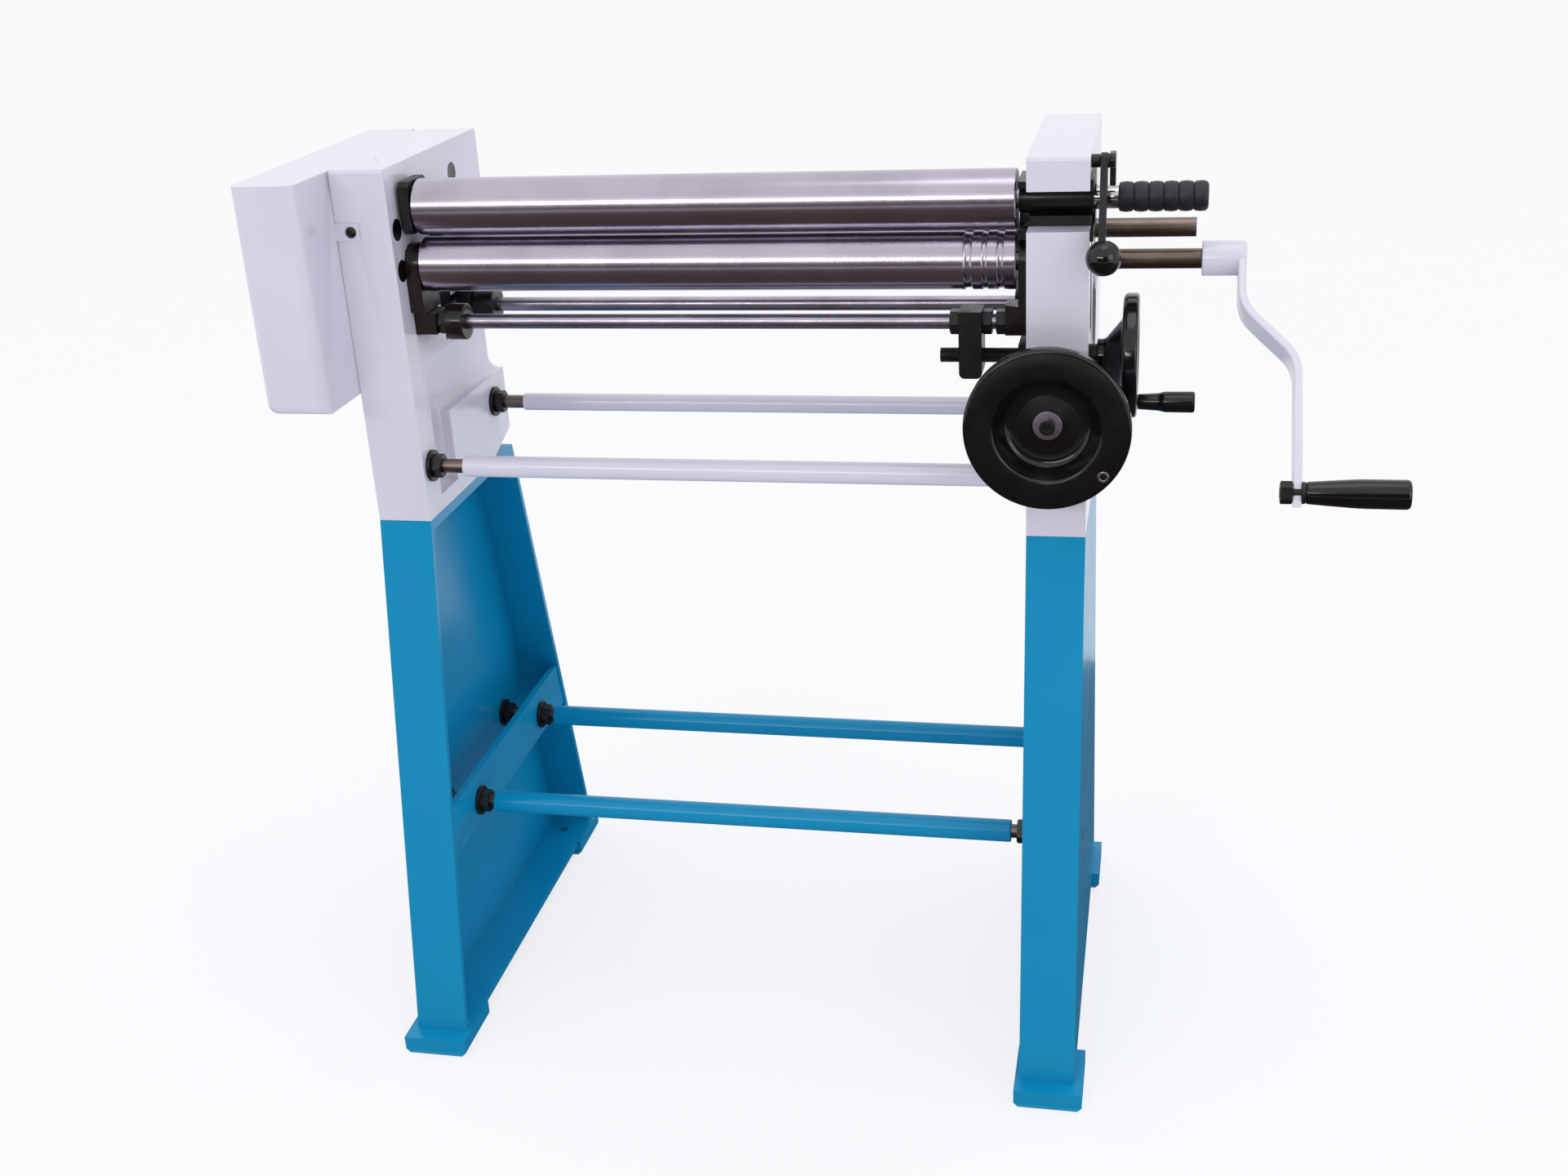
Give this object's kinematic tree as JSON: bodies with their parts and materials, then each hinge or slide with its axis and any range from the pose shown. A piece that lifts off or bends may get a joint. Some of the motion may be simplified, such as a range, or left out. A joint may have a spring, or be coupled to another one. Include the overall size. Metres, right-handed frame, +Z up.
{
  "type": "slip roll",
  "caption": "Hand-cranked three-roll slip roll for thin sheet metal on two blue channel stands, with geared feed rolls, wire grooves and a swing-out upper roll.",
  "frame": {"origin": "on the floor, at the centre of the four anchor holes in the stands' feet", "axes": "+X along the rolls towards the crank, +Y from the operator to the back, +Z up"},
  "size_m": [1.1714, 0.575, 1.045],
  "materials": {
    "stand_paint": "glossy blue paint on cast iron",
    "rod_paint": "glossy blue paint on steel",
    "white_paint": "light lavender-grey gloss paint",
    "black_steel": "black oxide, oiled",
    "ground_steel": "ground bright steel",
    "bright_chrome": "bright plating",
    "bronze": "turned bronze",
    "black_phenolic": "glossy black phenolic",
    "grip_rubber": "satin black rubber"
  },
  "bodies": {
    "frame": {"left_stand": "stand_paint", "right_stand": "stand_paint", "stand_rods": "rod_paint", "stand_rod_nuts": "black_steel", "left_housing": "white_paint", "right_housing": "white_paint", "housing_bolts": "black_steel", "housing_rods": "white_paint", "housing_rod_nuts": "black_steel", "face_plugs": "black_phenolic", "gear_cover": "white_paint", "cover_screws": "black_steel", "side_screw_bush": "black_steel", "shaft_brackets": "black_steel", "access_plate": "white_paint", "swivel_pins": "ground_steel", "slot_plates": "black_steel", "roll_stop": "black_steel", "lever_pivot": "black_steel", "stub_bush": "bronze"},
    "upper_gear_drive": {"feed_gear_upper": "black_steel", "stub_shaft": "ground_steel"},
    "roll_swing": {"swivel_block": "black_steel", "swivel_bush": "bronze", "journal_sleeve": "black_steel", "grip_stem": "bright_chrome", "lift_grip": "grip_rubber"},
    "upper_roll": {"upper_roll": "ground_steel"},
    "release_lever": {"release_lever": "black_steel", "ball_knob": "black_phenolic"},
    "lower_blocks": {"lower_block_left": "black_steel", "lower_block_right": "black_steel", "lower_bushes": "bronze"},
    "lower_roll": {"lower_roll": "ground_steel", "feed_gear_lower": "black_steel", "crank_arm": "white_paint", "crank_axle": "ground_steel"},
    "crank_handle": {"crank_handle": "black_phenolic"},
    "side_wheel": {"side_wheel": "black_phenolic", "side_screw": "black_steel", "side_wheel_screw": "black_steel", "side_handle_pin": "ground_steel"},
    "side_handle": {"side_handle": "black_phenolic"},
    "wedge_slide": {"wedge_rod": "ground_steel", "rod_collar": "black_steel", "wedges": "black_steel", "clamp_block": "black_steel", "rod_lock_nuts": "black_steel"},
    "front_wheel": {"front_wheel": "black_phenolic", "front_screw": "ground_steel", "front_wheel_screw": "black_steel", "handle_insert": "bright_chrome"},
    "travel_nut": {"travel_nut": "black_steel"},
    "lift_rocker": {"lift_shaft": "ground_steel", "shaft_collars": "black_steel", "lift_arms": "black_steel"},
    "rear_blocks": {"rear_block_left": "black_steel", "rear_block_right": "black_steel", "rear_bushes": "bronze"},
    "rear_roll": {"rear_roll": "ground_steel"}
  },
  "joints": [
    {"name": "side_wheel_turn", "type": "hinge", "parent": "frame", "child": "side_wheel", "pos_m": [0.42, -0.104, 0.834], "axis": [1, 0, 0], "range_deg": [0, 1440]},
    {"name": "wedge_travel", "type": "slide", "parent": "frame", "child": "wedge_slide", "axis": [1, 0, 0], "range_m": [0, 0.016]},
    {"name": "lower_roll_lift", "type": "slide", "parent": "frame", "child": "lower_blocks", "axis": [0, 0, 1], "range_m": [0, 0.002]},
    {"name": "lower_roll_spin", "type": "hinge", "parent": "lower_blocks", "child": "lower_roll", "pos_m": [0, -0.104, 0.9345], "axis": [1, 0, 0], "continuous": true},
    {"name": "upper_gear_spin", "type": "hinge", "parent": "frame", "child": "upper_gear_drive", "pos_m": [-0.41, -0.104, 0.997], "axis": [1, 0, 0], "continuous": true},
    {"name": "upper_roll_swing", "type": "hinge", "parent": "frame", "child": "roll_swing", "pos_m": [-0.358, -0.104, 0.997], "axis": [0, 0, -1], "range_deg": [0, 5.2]},
    {"name": "upper_roll_spin", "type": "hinge", "parent": "roll_swing", "child": "upper_roll", "pos_m": [0, -0.104, 0.997], "axis": [1, 0, 0], "continuous": true},
    {"name": "release_lever_turn", "type": "hinge", "parent": "frame", "child": "release_lever", "pos_m": [0.4105, -0.128, 1.037], "axis": [-1, 0, 0], "range_deg": [0, 104]},
    {"name": "crank_handle_spin", "type": "hinge", "parent": "lower_roll", "child": "crank_handle", "pos_m": [0.655, -0.28502, 0.75348], "axis": [1, 0, 0], "continuous": true},
    {"name": "side_handle_spin", "type": "hinge", "parent": "side_wheel", "child": "side_handle", "pos_m": [0.475, -0.104, 0.7845], "axis": [1, 0, 0], "continuous": true},
    {"name": "front_wheel_turn", "type": "hinge", "parent": "frame", "child": "front_wheel", "pos_m": [0.36, -0.18, 0.783], "axis": [0, 1, 0], "range_deg": [-1680, 1440]},
    {"name": "travel_nut_slide", "type": "slide", "parent": "frame", "child": "travel_nut", "axis": [0, 1, 0], "range_m": [-0.0201, 0.0235]},
    {"name": "lift_rocker_turn", "type": "hinge", "parent": "frame", "child": "lift_rocker", "pos_m": [0, 0.017, 0.8585], "axis": [-1, 0, 0], "range_deg": [-17.4, 14.9]},
    {"name": "rear_roll_lift", "type": "slide", "parent": "frame", "child": "rear_blocks", "axis": [0, 0, 1], "range_m": [-0.0134, 0.0115]},
    {"name": "rear_roll_spin", "type": "hinge", "parent": "rear_blocks", "child": "rear_roll", "pos_m": [0, -0.028, 0.95], "axis": [1, 0, 0], "continuous": true}
  ],
  "couplings": [
    {"joint": "wedge_travel", "follows": "lower_roll_lift", "ratio": 8},
    {"joint": "side_wheel_turn", "follows": "lower_roll_lift", "rad_per_m": 12566},
    {"joint": "upper_gear_spin", "follows": "lower_roll_spin", "ratio": -1},
    {"joint": "upper_roll_spin", "follows": "lower_roll_spin", "ratio": -1},
    {"joint": "release_lever_turn", "follows": "upper_roll_swing", "ratio": 20},
    {"joint": "front_wheel_turn", "follows": "rear_roll_lift", "rad_per_m": 2183.6},
    {"joint": "travel_nut_slide", "follows": "rear_roll_lift", "ratio": -1.7377},
    {"joint": "lift_rocker_turn", "follows": "rear_roll_lift", "rad_per_m": 22.422}
  ]
}
